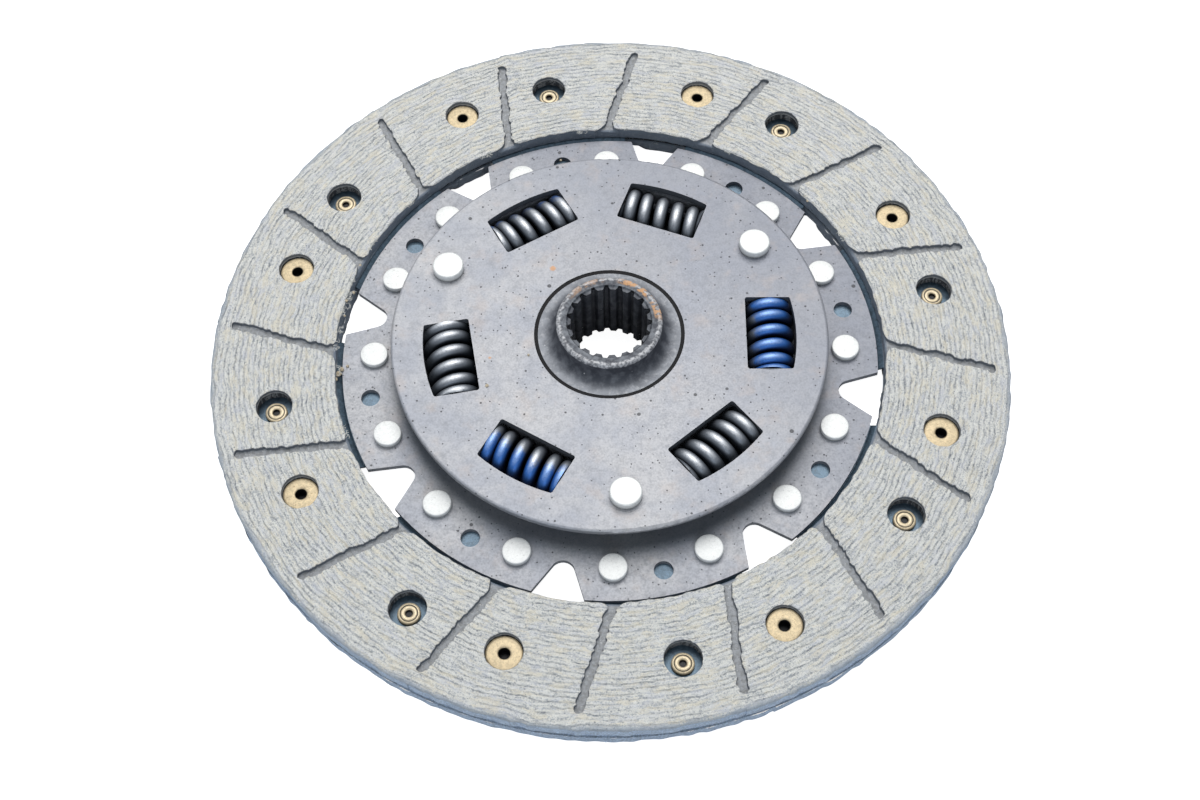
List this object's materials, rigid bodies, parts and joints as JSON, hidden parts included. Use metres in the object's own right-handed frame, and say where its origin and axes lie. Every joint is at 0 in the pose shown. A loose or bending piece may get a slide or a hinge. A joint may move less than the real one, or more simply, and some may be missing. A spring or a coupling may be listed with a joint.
{
  "type": "clutch disc",
  "caption": "Dry friction clutch disc with a splined hub, coil-spring torsion damper, waved cushion plates and two riveted grooved facings.",
  "frame": {"origin": "on the shaft axis, in the plane of the flywheel-side friction face", "axes": "+Z along the shaft axis towards the gearbox, the side that carries the retaining plate; +X towards one damper window's middle, to within a degree"},
  "size_m": [0.2, 0.2, 0.0205],
  "materials": {
    "friction_material": "moulded fibre, matte",
    "phosphated_steel": "grey phosphate, satin",
    "forged_steel": "dark phosphated forging",
    "spring_steel": "oiled spring wire",
    "blued_spring_steel": "blued, satin",
    "zinc_steel": "zinc plated",
    "rivet_brass": "dull brass",
    "bush_resin": "black friction resin"
  },
  "bodies": {
    "disc": {"upper_facing": "friction_material", "lower_facing": "friction_material", "disc_plate": "phosphated_steel", "retaining_plate": "phosphated_steel", "disc_spring": "spring_steel", "lower_friction_bush": "bush_resin", "upper_friction_bush": "bush_resin", "cushion_rivets": "zinc_steel", "upper_facing_rivets": "rivet_brass", "lower_facing_rivets": "rivet_brass", "damper_spring_1": "spring_steel", "damper_spring_2": "spring_steel", "damper_spring_3": "spring_steel", "damper_spring_4": "spring_steel", "damper_spring_5": "spring_steel", "damper_spring_6": "spring_steel", "stop_pin_1": "zinc_steel", "stop_pin_2": "zinc_steel", "stop_pin_3": "zinc_steel", "cushion_plate_1": "blued_spring_steel", "cushion_plate_2": "blued_spring_steel", "cushion_plate_3": "blued_spring_steel", "cushion_plate_4": "blued_spring_steel", "cushion_plate_5": "blued_spring_steel", "cushion_plate_6": "blued_spring_steel", "cushion_plate_7": "blued_spring_steel", "cushion_plate_8": "blued_spring_steel"},
    "hub": {"hub": "forged_steel"}
  },
  "joints": [
    {"name": "damper_twist", "type": "hinge", "parent": "disc", "child": "hub", "pos_m": [0, 0, 0.009], "axis": [0, 0, 1], "range_deg": [-4.5, 4.5], "stiffness_Nm_per_rad": 3500, "deforming": ["damper_spring_1", "damper_spring_2", "damper_spring_3", "damper_spring_4", "damper_spring_5", "damper_spring_6"]}
  ]
}
